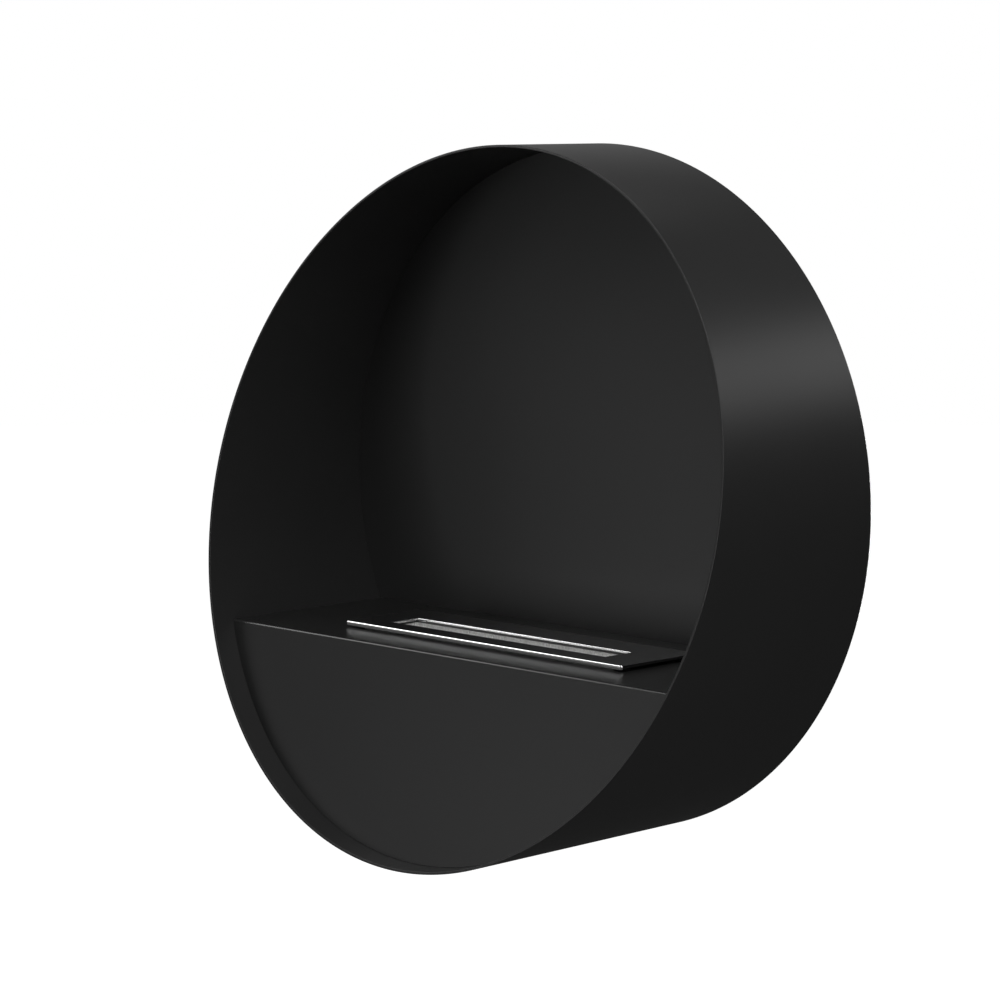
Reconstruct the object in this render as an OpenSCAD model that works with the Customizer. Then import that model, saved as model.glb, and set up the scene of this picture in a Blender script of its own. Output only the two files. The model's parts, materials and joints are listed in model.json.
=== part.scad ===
// Wall-hung bioethanol fireplace: a steel drum with a leaning front rim, a fire deck across its
// lower part and a lift-out slot burner with a sliding damper. Millimetres. X runs to the right,
// Y back to the wall, Z up. The origin is the drum's axis at the wall, in the middle of the holes.

/* [Drum] */
// Outside diameter of the drum
drum_d = 800; // [760:10:880]
// Distance from the wall to the rim at the top of the drum
rim_depth_top = 165; // [150:5:190]
// Distance from the wall to the rim at the bottom of the drum
rim_depth_bottom = 345; // [330:5:380]
// Thickness of the rolled sheet
shell_t = 3; // [2:0.5:4]
// Shadow gap between the drum's rear edge and the wall
wall_gap = 2; // [1:0.5:4]

/* [Back panel] */
// Space behind the back panel for the wall rails
panel_setback = 20; // [18:1:24]
// Thickness of the back panel
back_t = 2; // [1.5:0.5:3]

/* [Fire deck] */
// Height of the drum's axis above the top of the deck
deck_drop = 167; // [155:1:180]
// Thickness of the deck
deck_t = 3; // [2:0.5:4]
// Depth of the deck's folded rear flange
deck_flange_h = 22; // [15:1:30]
// Distance of the deck's edge and the front panel behind the rim, along Y
rim_recess = 30; // [24:1:36]
// Thickness of the front panel
front_t = 2; // [1.5:0.5:3]
// Depth of the front panel's top flange, folded back under the deck
front_flange_d = 20; // [16:1:24]

/* [Burner plate] */
// Width of the burner's top plate
plate_w = 444; // [430:2:460]
// Depth of the burner's top plate
plate_d = 121.5; // [119:0.5:126]
// Thickness of the plate's sheet
plate_t = 1.5; // [1:0.25:1.75]
// Height of the plate's top above the deck
plate_rise = 8; // [7.75:0.25:9]
// Height of the plate's front and rear folds
long_lip_h = 5.5; // [4.5:0.25:6]
// Height of the plate's folds at its two ends
end_lip_h = 4.2; // [3.5:0.1:5]
// Distance from the deck's front edge to the plate
plate_front_gap = 56; // [50:1:62]

/* [Flame slot] */
// Width of the plate past each end of the slot
slot_end_land = 51; // [48:1:56]
// Depth of the flame slot, front to back
slot_d = 42; // [40:0.5:43]
// Width of the plate in front of the slot
front_land = 28.1; // [27:0.1:30]
// Thickness of the polished collar that lines the slot
collar_t = 1.5; // [1:0.25:2]
// Depth of the collar below the plate's top
collar_h = 3; // [2.5:0.1:3.2]

/* [Fuel tank] */
// Distance of the tank's ends inside the plate's ends
tank_end_inset = 22; // [20:1:24]
// Distance of the tank's front and rear inside the plate's edges
tank_side_inset = 10.75; // [10:0.25:11.5]
// Height of the tank below its lid
tank_h = 60; // [40:1:80]
// Thickness of the tank's sheet
tank_t = 1.5; // [1:0.25:2]
// Thickness of the tank's lid
lid_t = 1.5; // [1:0.25:2]
// Margin of the lid's mouth round the flame slot
mouth_margin = 2; // [1.5:0.25:3]
// Width of the bars of the frame round the mesh
mesh_frame_w = 2; // [1:0.25:2.5]
// Thickness of the mesh sheet
mesh_t = 1; // [0.6:0.1:1.4]
// Width of the mesh's bars
mesh_bar = 1.2; // [0.8:0.1:1.6]
// Openings of the mesh along the slot
mesh_cells_x = 50; // [30:1:50]
// Openings of the mesh across the slot
mesh_cells_y = 6; // [4:1:6]

/* [Damper] */
// Thickness of the sliding damper
damper_t = 1; // [0.8:0.1:1.2]
// Length of the damper inside each end guide
damper_grip = 14; // [10:1:16]
// Overlap of the shut damper past each long edge of the slot
damper_overlap = 1; // [0.5:0.1:1.5]
// Width of the damper's finger tab
tab_w = 12; // [8:1:16]
// Height of the finger tab's upright above the damper
tab_h = 2.4; // [1.5:0.1:2.6]
// Thickness of the finger tab
tab_t = 1; // [0.6:0.1:1.2]
// Distance of the finger tab from the left end of the slot
tab_inset = 2; // [1:0.5:10]
// Thickness of the end guides
guide_t = 1.5; // [1.2:0.1:1.6]

/* [Burner well] */
// Clearance between the tank and the well's walls
well_clear = 3; // [2:0.5:4]
// Clearance between the tank and the well's floor
well_floor_clear = 3; // [2:0.5:5]
// Thickness of the well's sheet
well_t = 1.5; // [1:0.25:2]
// Width of the well's flange under the deck
well_flange_w = 15; // [13:1:17]

/* [Wall rails] */
// Distance of the wall holes inside the drum's sides
hole_inset_x = 200; // [190:5:220]
// Distance of the wall holes inside the drum's top and bottom
hole_inset_z = 160; // [155:1:170]
// Diameter of the wall holes
hole_d = 8.5; // [6.5:0.5:10]
// Height of a rail's wall strip
rail_h = 36; // [32:1:40]
// Thickness of the rails and the hanging cleats
rail_t = 3; // [2.5:0.5:3.5]
// Length of a rail past its outer holes
rail_end = 20; // [15:1:25]
// Height of a rail's upturned lip above its ledge
rail_lip_h = 12; // [10:1:14]
// Height of a cleat's strip on the back panel
cleat_h = 32; // [28:1:34]
// Distance of a cleat's ends inside the rail's ends
cleat_inset = 10; // [5:1:20]
// Diameter of the rubber wall bumpers
bumper_d = 24; // [16:1:30]
// Distance of a bumper's centre inside the drum
bumper_inset = 60; // [50:1:66]

/* [Brackets] */
// Thickness of the welded tabs and deck brackets
tab_sheet = 2; // [1.5:0.5:3]
// Width of a welded tab
weld_tab_w = 30; // [24:1:40]
// Reach of a welded tab in from the drum
weld_tab_reach = 22; // [20:1:26]
// Length of a welded tab along the drum
weld_tab_leg = 14; // [10:1:15]
// Number of tabs behind the back panel
back_tabs = 8; // [6:1:12]
// Width of a deck bracket's shelf at the height of the deck
shelf_w = 34; // [30:1:45]
// Height of a deck bracket's leg on the drum
shelf_leg = 28; // [20:1:40]
// Distance of a deck bracket behind the front panel's flange
shelf_end = 6; // [4:1:20]
// Distance of a deck bracket from the back panel
shelf_start = 18; // [16:1:24]

/* [Fasteners] */
// Diameter of the press-in studs
stud_d = 4; // [3:0.5:5]
// Length of the studs
stud_len = 9; // [8:0.5:10]
// Width across the flats of the nuts
nut_af = 7; // [6:0.5:8]
// Height of the nuts, with their flange
nut_h = 4; // [3:0.2:4]
// Diameter of the nuts' flange
nut_flange_d = 9; // [8.5:0.5:10]
// Thickness of the nuts' flange
nut_flange_t = 1; // [0.6:0.1:1.4]
// Diameter of the holes that the studs pass through
stud_hole_d = 5.5; // [5.2:0.1:6]
// Diameter of the burner's feet
foot_d = 10; // [6:1:12]

/* [Clearances] */
// Fit between sheets that are joined edge to edge
fit_gap = 0.3; // [0.1:0.1:0.4]
// Running gap between pieces that move on each other
run_gap = 0.3; // [0.2:0.05:0.4]
// Clearance inside the hooks of the wall rails
hook_gap = 0.3; // [0.2:0.1:0.6]

/* [Hidden] */

$fn = 96;
hex_sides = 6;
// Overrun of the cuts past the faces that they open
cut = 1;

// The drum and its leaning rim
outer_r = drum_d / 2;
inner_r = outer_r - shell_t;
panel_r = inner_r - fit_gap;
rim_mid = (rim_depth_top + rim_depth_bottom) / 2;
rim_slope = (rim_depth_bottom - rim_depth_top) / drum_d;
rim_lean = atan(rim_slope);

// Heights and depths of the sheets
back_rear_y = -panel_setback;
back_front_y = back_rear_y - back_t;
deck_z = -deck_drop;
deck_under_z = deck_z - deck_t;
front_depth = front_t / cos(rim_lean);
tab_depth = tab_sheet / cos(rim_lean);
front_tab_leg = weld_tab_leg + tab_depth;

// Places of the tabs round the drum, in degrees
back_tab_step = 360 / back_tabs;
back_tab_angles = [for (i = [0 : back_tabs - 1]) (i + 1 / 2) * back_tab_step];
front_tab_angles = [40, 65, 90, 115, 140];
stud_r = inner_r - weld_tab_reach / 2;

// Places of the studs under the deck
shelf_x = sqrt(inner_r * inner_r - deck_under_z * deck_under_z) - shelf_w;
shelf_back_y = back_front_y - shelf_start;
flange_back_y = rim_y(deck_under_z) + rim_recess + front_depth + front_flange_d;
shelf_front_y = flange_back_y + shelf_end;
shelf_len = shelf_back_y - shelf_front_y;
shelf_share = [0.1, 0.5, 0.9];
shelf_studs = [
    for (side = [-1, 1], s = shelf_share)
        [side * (shelf_x + nut_flange_d / 2 + tab_sheet * 2), shelf_back_y - s * shelf_len]
];
flange_share = [-0.45, 0, 0.45];
flange_studs = [for (s = flange_share) [s * plate_w, flange_back_y - front_flange_d / 2]];

// The burner, seen from above
plate_front_y = rim_y(deck_z) + rim_recess + plate_front_gap;
plate_back_y = plate_front_y + plate_d;
plate_mid_y = (plate_back_y + plate_front_y) / 2;
slot_w = plate_w - 2 * slot_end_land;
slot_front_y = plate_front_y + front_land;
slot_back_y = slot_front_y + slot_d;
slot_mid_y = (slot_front_y + slot_back_y) / 2;
tank_w = plate_w - 2 * tank_end_inset;
tank_d = plate_d - 2 * tank_side_inset;
well_w = tank_w + 2 * well_clear;
well_d = tank_d + 2 * well_clear;
well_end_share = 0.33;
well_studs_at = [
    for (x = [-well_end_share, well_end_share], y = [-1, 1])
        [x * well_w, plate_mid_y + y * (well_d + well_flange_w) / 2],
    for (x = [-1, 1]) [x * (well_w + well_flange_w) / 2, plate_mid_y]
];

// Heights of the burner's layers
plate_z = deck_z + plate_rise;
plate_under_z = plate_z - plate_t;
damper_top_z = plate_z - collar_h - run_gap;
damper_z = damper_top_z - damper_t;
lid_z = damper_z - run_gap;
lid_under_z = lid_z - lid_t;
tank_floor_z = lid_under_z - tank_h;
well_floor_z = tank_floor_z - well_floor_clear;
guide_under_z = damper_top_z + run_gap;

// The mesh and its frame in the lid's mouth
mouth_w = slot_w + 2 * mouth_margin;
mouth_d = slot_d + 2 * mouth_margin;
mesh_w = mouth_w - 2 * mesh_frame_w;
mesh_d = mouth_d - 2 * mesh_frame_w;

// The damper and its travel
damper_w = slot_w + 2 * (collar_t + run_gap + damper_grip);
tab_front_y = slot_back_y - run_gap - tab_t;
damper_front_y = tab_front_y - run_gap - damper_overlap;
damper_travel = tab_front_y - slot_front_y - run_gap;
damper_back_y = slot_back_y + damper_overlap + damper_travel;
damper_d = damper_back_y - damper_front_y;
guide_web_x = damper_w / 2 + run_gap;
guide_lip_w = damper_grip - run_gap;
spacer_back_y = slot_front_y - damper_overlap - 2 * collar_t;

// The wall rails and the hooks of the cleats
hole_pitch_x = drum_d - 2 * hole_inset_x;
hole_pitch_z = drum_d - 2 * hole_inset_z;
rail_w = hole_pitch_x + 2 * rail_end;
cleat_w = rail_w - 2 * cleat_inset;
hook_slot = rail_t + 2 * hook_gap;
hook_depth = 2 * rail_t + hook_slot;
cleat_lip_y = rail_t + hook_gap;
cleat_share = [-0.4, 0, 0.4];

// Y of the rim's plane at the height z
function rim_y(z) = rim_slope * z - rim_mid;

// Height of the underside of a cleat's cap over the rail whose holes are at the height z
function cleat_cap_z(z) = z + rail_h / 2 + rail_lip_h + hook_gap;

// Disc or plug along Y, from the depth y_front to the depth y_back
module y_disc(r, y_front, y_back) {
    translate([0, y_back, 0]) rotate([90, 0, 0]) cylinder(h = y_back - y_front, r = r);
}

// Ring along Y
module y_ring(r_out, r_in, y_front, y_back) {
    difference() {
        y_disc(r_out, y_front, y_back);
        y_disc(r_in, y_front - cut, y_back + cut);
    }
}

// Bar along X whose section is an outline of [y, z] points
module x_bar(points, w) {
    translate([-w / 2, 0, 0]) rotate([90, 0, 90]) linear_extrude(height = w) polygon(points);
}

// Slab parallel to the rim, from the distance near to the distance far behind it
module lean_slab(near, far, z_low, z_high) {
    x_bar([
        [rim_y(z_low) + near, z_low],
        [rim_y(z_low) + far, z_low],
        [rim_y(z_high) + far, z_high],
        [rim_y(z_high) + near, z_high]
    ], drum_d + 2 * cut);
}

// Block centred on X, given by its width and its Y and Z limits
module block(w, y_front, y_back, z_low, z_high) {
    translate([-w / 2, y_front, z_low]) cube([w, y_back - y_front, z_high - z_low]);
}

// Radial strips that cut a ring into tabs, at angles from +X towards the bottom
module tab_sectors(angles) {
    for (a = angles)
        rotate([0, a, 0])
            translate([inner_r - weld_tab_reach, -rim_depth_bottom, -weld_tab_w / 2])
                cube([weld_tab_reach + shell_t, rim_depth_bottom, weld_tab_w]);
}

// Threaded stud along +Z, pressed into the sheet below it
module stud() {
    cylinder(h = stud_len, d = stud_d);
}

// Flanged hexagon nut along +Z, with its seat at the given height
module nut(seat) {
    translate([0, 0, seat]) difference() {
        union() {
            cylinder(h = nut_flange_t, d = nut_flange_d);
            cylinder(h = nut_h, d = nut_af / cos(180 / hex_sides), $fn = hex_sides);
        }
        translate([0, 0, -cut]) cylinder(h = nut_h + 2 * cut, d = stud_d);
    }
}

// Hole along +Z for a stud, through a sheet of thickness t
module stud_hole(t) {
    translate([0, 0, -cut]) cylinder(h = t + 2 * cut, d = stud_hole_d);
}

// Places on the rear face of the back panel, one at each tab
module at_back_tabs() {
    for (a = back_tab_angles)
        translate([stud_r * cos(a), back_rear_y, -stud_r * sin(a)]) rotate([-90, 0, 0]) children();
}

// Places on the rear face of the leaning front panel, one at each tab
module at_front_tabs() {
    for (a = front_tab_angles) {
        x = stud_r * cos(a);
        z = -stud_r * sin(a);
        translate([x, rim_y(z) + rim_recess + front_depth, z]) rotate([-90 - rim_lean, 0, 0])
            children();
    }
}

// Places under the deck, given as [x, y]
module under_deck(places) {
    for (p = places) translate([p[0], p[1], deck_under_z]) rotate([180, 0, 0]) children();
}

// Places on the back panel's rear face inside the two cleats
module at_cleats() {
    for (z = [-1, 1] * hole_pitch_z / 2, s = cleat_share)
        translate([s * cleat_w, back_rear_y, cleat_cap_z(z) + (cleat_h + rail_t) / 2])
            rotate([-90, 0, 0]) children();
}

// Casing

module drum_shell() {
    color([0.1, 0.1, 0.1]) intersection() {
        y_ring(outer_r, inner_r, -rim_depth_bottom - cut, -wall_gap);
        lean_slab(0, rim_depth_bottom, -outer_r - cut, outer_r + cut);
    }
}

module back_panel() {
    color([0.13, 0.13, 0.13]) y_disc(panel_r, back_front_y, back_rear_y);
}

module back_panel_tabs() {
    color([0.1, 0.1, 0.1]) difference() {
        intersection() {
            union() {
                y_ring(inner_r, inner_r - weld_tab_reach, back_rear_y, back_rear_y + tab_sheet);
                y_ring(inner_r, inner_r - tab_sheet, back_rear_y, back_rear_y + weld_tab_leg);
            }
            tab_sectors(back_tab_angles);
        }
        at_back_tabs() stud_hole(tab_sheet);
    }
}

module back_panel_studs() {
    color("silver") at_back_tabs() stud();
}

module back_panel_nuts() {
    color("silver") at_back_tabs() nut(tab_sheet);
}

// Flat sheet with a slanted front edge under the rim, a hole for the well and a rear flange
module fire_deck() {
    color([0.1, 0.1, 0.1]) difference() {
        intersection() {
            y_disc(panel_r, -rim_depth_bottom, back_front_y - fit_gap);
            lean_slab(rim_recess, rim_depth_bottom, -outer_r, 0);
            union() {
                block(drum_d, -rim_depth_bottom, 0, deck_under_z, deck_z);
                block(drum_d, back_front_y - fit_gap - deck_t, 0, deck_under_z - deck_flange_h, deck_z);
            }
        }
        block(well_w, plate_mid_y - well_d / 2, plate_mid_y + well_d / 2, deck_under_z - cut, deck_z + cut);
    }
}

// Shelf under one side of the deck with a leg that is welded to the drum
module deck_bracket(side) {
    y_back = shelf_back_y;
    y_front = shelf_front_y;
    shelf_z = deck_under_z - tab_sheet;
    color([0.1, 0.1, 0.1]) difference() {
        union() {
            intersection() {
                y_disc(inner_r, y_front, y_back);
                translate([side > 0 ? shelf_x : -outer_r, y_front, shelf_z])
                    cube([outer_r - shelf_x, shelf_len, tab_sheet]);
            }
            intersection() {
                y_ring(inner_r, inner_r - tab_sheet, y_front, y_back);
                translate([side > 0 ? 0 : -outer_r, y_front, deck_under_z - shelf_leg])
                    cube([outer_r, shelf_len, shelf_leg]);
            }
        }
        under_deck(shelf_studs) stud_hole(tab_sheet);
    }
}

module deck_bracket_left() {
    deck_bracket(-1);
}

module deck_bracket_right() {
    deck_bracket(1);
}

module deck_studs() {
    color("silver") {
        under_deck(shelf_studs) stud();
        under_deck(flange_studs) stud();
    }
}

module deck_nuts() {
    color("silver") {
        under_deck(shelf_studs) nut(tab_sheet);
        under_deck(flange_studs) nut(front_t);
    }
}

// Segment of a disc that leans with the rim, with its top edge folded back under the deck
module front_panel() {
    color([0.17, 0.17, 0.17]) difference() {
        intersection() {
            y_disc(panel_r, -rim_depth_bottom, 0);
            union() {
                lean_slab(rim_recess, rim_recess + front_depth, -outer_r - cut, deck_under_z);
                lean_slab(rim_recess, rim_recess + front_depth + front_flange_d,
                    deck_under_z - front_t, deck_under_z);
            }
        }
        under_deck(flange_studs) stud_hole(front_t);
    }
}

module front_panel_tabs() {
    near = rim_recess + front_depth;
    color([0.1, 0.1, 0.1]) difference() {
        intersection() {
            union() {
                intersection() {
                    y_ring(inner_r, inner_r - weld_tab_reach, -rim_depth_bottom, 0);
                    lean_slab(near, near + tab_depth, -outer_r - cut, deck_under_z);
                }
                intersection() {
                    y_ring(inner_r, inner_r - tab_sheet, -rim_depth_bottom, 0);
                    lean_slab(near, near + front_tab_leg, -outer_r - cut, deck_under_z);
                }
            }
            tab_sectors(front_tab_angles);
        }
        at_front_tabs() stud_hole(tab_sheet);
    }
}

module front_panel_studs() {
    color("silver") at_front_tabs() stud();
}

module front_panel_nuts() {
    color("silver") at_front_tabs() nut(tab_sheet);
}

// Open pan that hangs under the deck and catches spilt fuel
module burner_well() {
    out_w = well_w + 2 * well_t;
    out_d = well_d + 2 * well_t;
    flange_w = well_w + 2 * well_flange_w;
    flange_d = well_d + 2 * well_flange_w;
    color([0.55, 0.56, 0.57]) difference() {
        union() {
            block(out_w, plate_mid_y - out_d / 2, plate_mid_y + out_d / 2,
                well_floor_z - well_t, deck_under_z);
            block(flange_w, plate_mid_y - flange_d / 2, plate_mid_y + flange_d / 2,
                deck_under_z - well_t, deck_under_z);
        }
        block(well_w, plate_mid_y - well_d / 2, plate_mid_y + well_d / 2,
            well_floor_z, deck_under_z + cut);
        under_deck(well_studs_at) stud_hole(well_t);
    }
}

module well_studs() {
    color("silver") under_deck(well_studs_at) stud();
}

module well_nuts() {
    color("silver") under_deck(well_studs_at) nut(well_t);
}

// Wall rail with an upturned hook, its two holes at the height z
module wall_rail(z) {
    top = z + rail_h / 2;
    color([0.3, 0.3, 0.31]) difference() {
        x_bar([
            [0, z - rail_h / 2],
            [0, top],
            [-rail_t - hook_slot, top],
            [-rail_t - hook_slot, top + rail_lip_h],
            [-hook_depth, top + rail_lip_h],
            [-hook_depth, top - rail_t],
            [-rail_t, top - rail_t],
            [-rail_t, z - rail_h / 2]
        ], rail_w);
        for (x = [-1, 1] * hole_pitch_x / 2)
            translate([x, cut, z]) rotate([90, 0, 0]) cylinder(h = rail_t + 2 * cut, d = hole_d);
    }
}

module wall_rail_upper() {
    wall_rail(hole_pitch_z / 2);
}

module wall_rail_lower() {
    wall_rail(-hole_pitch_z / 2);
}

// Cleat that hooks over a rail's lip and is bolted to the back panel
module hanging_cleat(z) {
    cap = cleat_cap_z(z);
    lip_end = z + rail_h / 2 + hook_gap;
    color([0.3, 0.3, 0.31]) difference() {
        x_bar([
            [-cleat_lip_y, lip_end],
            [-cleat_lip_y, cap + rail_t],
            [back_rear_y + rail_t, cap + rail_t],
            [back_rear_y + rail_t, cap + cleat_h],
            [back_rear_y, cap + cleat_h],
            [back_rear_y, cap],
            [-cleat_lip_y - rail_t, cap],
            [-cleat_lip_y - rail_t, lip_end]
        ], cleat_w);
        at_cleats() stud_hole(rail_t);
    }
}

module hanging_cleat_upper() {
    hanging_cleat(hole_pitch_z / 2);
}

module hanging_cleat_lower() {
    hanging_cleat(-hole_pitch_z / 2);
}

module cleat_studs() {
    color("silver") at_cleats() stud();
}

module cleat_nuts() {
    color("silver") at_cleats() nut(rail_t);
}

module wall_bumpers() {
    color([0.06, 0.06, 0.06])
        for (a = [0 : 90 : 270])
            rotate([0, a, 0]) translate([inner_r - bumper_inset, 0, 0]) rotate([90, 0, 0])
                cylinder(h = panel_setback, d = bumper_d);
}

// Burner insert, which lifts out of the well

// Top plate with its edges folded down and the flame slot near the front
module burner_top_plate() {
    hole_w = slot_w + 2 * collar_t;
    color([0.42, 0.42, 0.43]) difference() {
        union() {
            block(plate_w, plate_front_y, plate_back_y, plate_under_z, plate_z);
            for (y = [plate_front_y, plate_back_y - plate_t])
                block(plate_w, y, y + plate_t, plate_z - long_lip_h, plate_z);
            for (x = [-plate_w / 2, plate_w / 2 - plate_t])
                translate([x, plate_front_y, plate_z - end_lip_h]) cube([plate_t, plate_d, end_lip_h]);
        }
        block(hole_w, slot_front_y - collar_t, slot_back_y + collar_t,
            plate_under_z - cut, plate_z + cut);
    }
}

module slot_collar() {
    out_w = slot_w + 2 * collar_t;
    color([0.9, 0.9, 0.9]) difference() {
        block(out_w, slot_front_y - collar_t, slot_back_y + collar_t, plate_z - collar_h, plate_z);
        block(slot_w, slot_front_y, slot_back_y, plate_z - collar_h - cut, plate_z + cut);
    }
}

// Bar between the lid and the plate, under the front land
module plate_spacer() {
    y_front = plate_mid_y - tank_d / 2 + tank_t;
    color([0.55, 0.55, 0.56])
        block(slot_w, y_front, spacer_back_y, lid_z, plate_under_z);
}

// L-shaped guide over one end of the damper; it also carries the plate on the lid
module end_guide(side) {
    y_front = plate_mid_y - tank_d / 2 + tank_t;
    y_back = plate_mid_y + tank_d / 2;
    web_x = side > 0 ? guide_web_x : -guide_web_x - guide_t;
    lip_x = side > 0 ? guide_web_x - guide_lip_w : -guide_web_x;
    color([0.55, 0.55, 0.56]) union() {
        translate([web_x, y_front, lid_z]) cube([guide_t, y_back - y_front, plate_under_z - lid_z]);
        translate([lip_x, y_front, guide_under_z])
            cube([guide_lip_w, y_back - y_front, plate_under_z - guide_under_z]);
    }
}

module guide_left() {
    end_guide(-1);
}

module guide_right() {
    end_guide(1);
}

module burner_tank() {
    y_front = plate_mid_y - tank_d / 2;
    y_back = plate_mid_y + tank_d / 2;
    color([0.6, 0.61, 0.62]) difference() {
        block(tank_w, y_front, y_back, tank_floor_z, lid_under_z);
        block(tank_w - 2 * tank_t, y_front + tank_t, y_back - tank_t,
            tank_floor_z + tank_t, lid_under_z + cut);
    }
}

module tank_lid() {
    color([0.6, 0.61, 0.62]) difference() {
        block(tank_w, plate_mid_y - tank_d / 2, plate_mid_y + tank_d / 2, lid_under_z, lid_z);
        block(mouth_w, slot_mid_y - mouth_d / 2, slot_mid_y + mouth_d / 2,
            lid_under_z - cut, lid_z + cut);
    }
}

// Absorbent block that fills the tank
module ceramic_wool() {
    inset = tank_t + fit_gap;
    color([0.93, 0.92, 0.88])
        block(tank_w - 2 * inset, plate_mid_y - tank_d / 2 + inset, plate_mid_y + tank_d / 2 - inset,
            tank_floor_z + inset, lid_under_z - fit_gap);
}

module mesh_frame() {
    color([0.7, 0.7, 0.7]) difference() {
        block(mouth_w, slot_mid_y - mouth_d / 2, slot_mid_y + mouth_d / 2, lid_under_z, lid_z);
        block(mesh_w, slot_mid_y - mesh_d / 2, slot_mid_y + mesh_d / 2,
            lid_under_z - cut, lid_z + cut);
    }
}

// Flat mesh over the wool, with square openings between its bars
module wick_mesh() {
    pitch_x = (mesh_w - mesh_bar) / mesh_cells_x;
    pitch_y = (mesh_d - mesh_bar) / mesh_cells_y;
    color([0.72, 0.72, 0.7]) difference() {
        block(mesh_w, slot_mid_y - mesh_d / 2, slot_mid_y + mesh_d / 2, lid_z - mesh_t, lid_z);
        for (i = [0 : mesh_cells_x - 1], j = [0 : mesh_cells_y - 1])
            translate([
                mesh_bar - mesh_w / 2 + i * pitch_x,
                slot_mid_y - mesh_d / 2 + mesh_bar + j * pitch_y,
                lid_z - mesh_t - cut
            ]) cube([pitch_x - mesh_bar, pitch_y - mesh_bar, mesh_t + 2 * cut]);
    }
}

// Four feet that stand on the deck beside the well
module burner_feet() {
    foot_x = (well_w + plate_w - 2 * plate_t) / 4;
    foot_y = tank_d / 2 - foot_d / 2;
    color([0.2, 0.2, 0.2])
        for (x = [-foot_x, foot_x], y = [-foot_y, foot_y])
            translate([x, plate_mid_y + y, deck_z + run_gap])
                cylinder(h = plate_under_z - deck_z - run_gap, d = foot_d);
}

// Damper, which slides forward under the slot and puts the flame out

module damper_plate() {
    color([0.5, 0.5, 0.51])
        block(damper_w, damper_front_y, damper_back_y, damper_z, damper_top_z);
}

// Upright that is welded on the damper and stands in the slot, just in front of the collar
module damper_tab() {
    color([0.15, 0.15, 0.15])
        translate([tab_inset - slot_w / 2, tab_front_y, damper_top_z]) cube([tab_w, tab_t, tab_h]);
}

drum_shell();
back_panel();
back_panel_tabs();
back_panel_studs();
back_panel_nuts();
fire_deck();
deck_bracket_left();
deck_bracket_right();
deck_studs();
deck_nuts();
front_panel();
front_panel_tabs();
front_panel_studs();
front_panel_nuts();
burner_well();
well_studs();
well_nuts();
hanging_cleat_upper();
hanging_cleat_lower();
cleat_studs();
cleat_nuts();
wall_rail_upper();
wall_rail_lower();
wall_bumpers();
burner_top_plate();
slot_collar();
plate_spacer();
guide_left();
guide_right();
burner_tank();
tank_lid();
ceramic_wool();
mesh_frame();
wick_mesh();
burner_feet();
damper_plate();
damper_tab();
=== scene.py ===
"""Dresses a wall-hung drum fireplace for a studio picture.

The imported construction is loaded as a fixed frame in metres: X right, Y back to the wall, Z up.
Each operator makes one piece or one group of like pieces, and the sidebar panel lists them.
"""

import json
import math

import bmesh
import bpy
from bpy.props import FloatProperty, FloatVectorProperty, IntProperty, PointerProperty
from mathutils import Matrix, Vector, noise


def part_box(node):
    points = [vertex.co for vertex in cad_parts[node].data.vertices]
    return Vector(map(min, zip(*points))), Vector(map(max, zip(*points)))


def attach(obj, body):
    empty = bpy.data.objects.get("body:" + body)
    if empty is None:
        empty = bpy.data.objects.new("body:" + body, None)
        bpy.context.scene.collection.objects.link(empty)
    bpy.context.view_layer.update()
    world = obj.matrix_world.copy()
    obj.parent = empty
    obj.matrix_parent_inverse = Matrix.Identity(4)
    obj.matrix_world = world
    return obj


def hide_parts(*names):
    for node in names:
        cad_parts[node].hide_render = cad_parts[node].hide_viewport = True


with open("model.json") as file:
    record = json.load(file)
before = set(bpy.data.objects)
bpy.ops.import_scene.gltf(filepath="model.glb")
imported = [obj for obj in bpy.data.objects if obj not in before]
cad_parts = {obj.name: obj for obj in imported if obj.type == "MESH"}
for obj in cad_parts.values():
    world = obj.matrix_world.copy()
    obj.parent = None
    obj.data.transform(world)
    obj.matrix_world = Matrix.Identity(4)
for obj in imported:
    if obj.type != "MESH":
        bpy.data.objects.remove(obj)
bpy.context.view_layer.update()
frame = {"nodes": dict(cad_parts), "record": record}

bl_info = {
    "name": "Drum fireplace dresser",
    "version": (1, 0, 0),
    "blender": (4, 5, 0),
    "location": "View3D > Sidebar > Hearth",
    "description": "Finishes, rounded sheet edges, wick and studio for a wall-hung drum fireplace",
    "category": "Object",
}

BODY_OF = {
    node: body
    for body, nodes in frame["record"]["behaviour"]["bodies"].items()
    for node in nodes
}
MM = 0.001
WHITE = (1, 1, 1, 1)

# Finishes made so far, by name
FINISHES = {}

# Brush lines in a metre of steel along each axis: they run along X
BRUSH_LINES = (14.0, 1500.0, 1500.0)

# Most values of a noise lie between these two
NOISE_LOW, NOISE_HIGH = 0.3, 0.7

# Sides of each wire of the cloth
WIRE_SIDES = 5

# Cuts of the wool along X, Y and Z, its broad and fine lumps in a metre, and how far its sides draw in
WOOL_CUTS = (96, 28, 6)
WOOL_BROAD, WOOL_FINE = 190, 520
WOOL_PINCH = 0.012

# The floor's radius and sides, the tone that lights the drum from below and the tone the camera sees.
# It glows least near the drum, where its shadow lies, and is plain white further out.
FLOOR_RADIUS, FLOOR_SIDES = 14.0, 128
FLOOR_BOUNCE = (0.08, 0.08, 0.08, 1)
FLOOR_TONE = (0.3, 0.3, 0.3, 1)
GLOW_REACH = (0.9, 2.2)
GLOW_STRENGTH = (0.78, 1.0)

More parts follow.
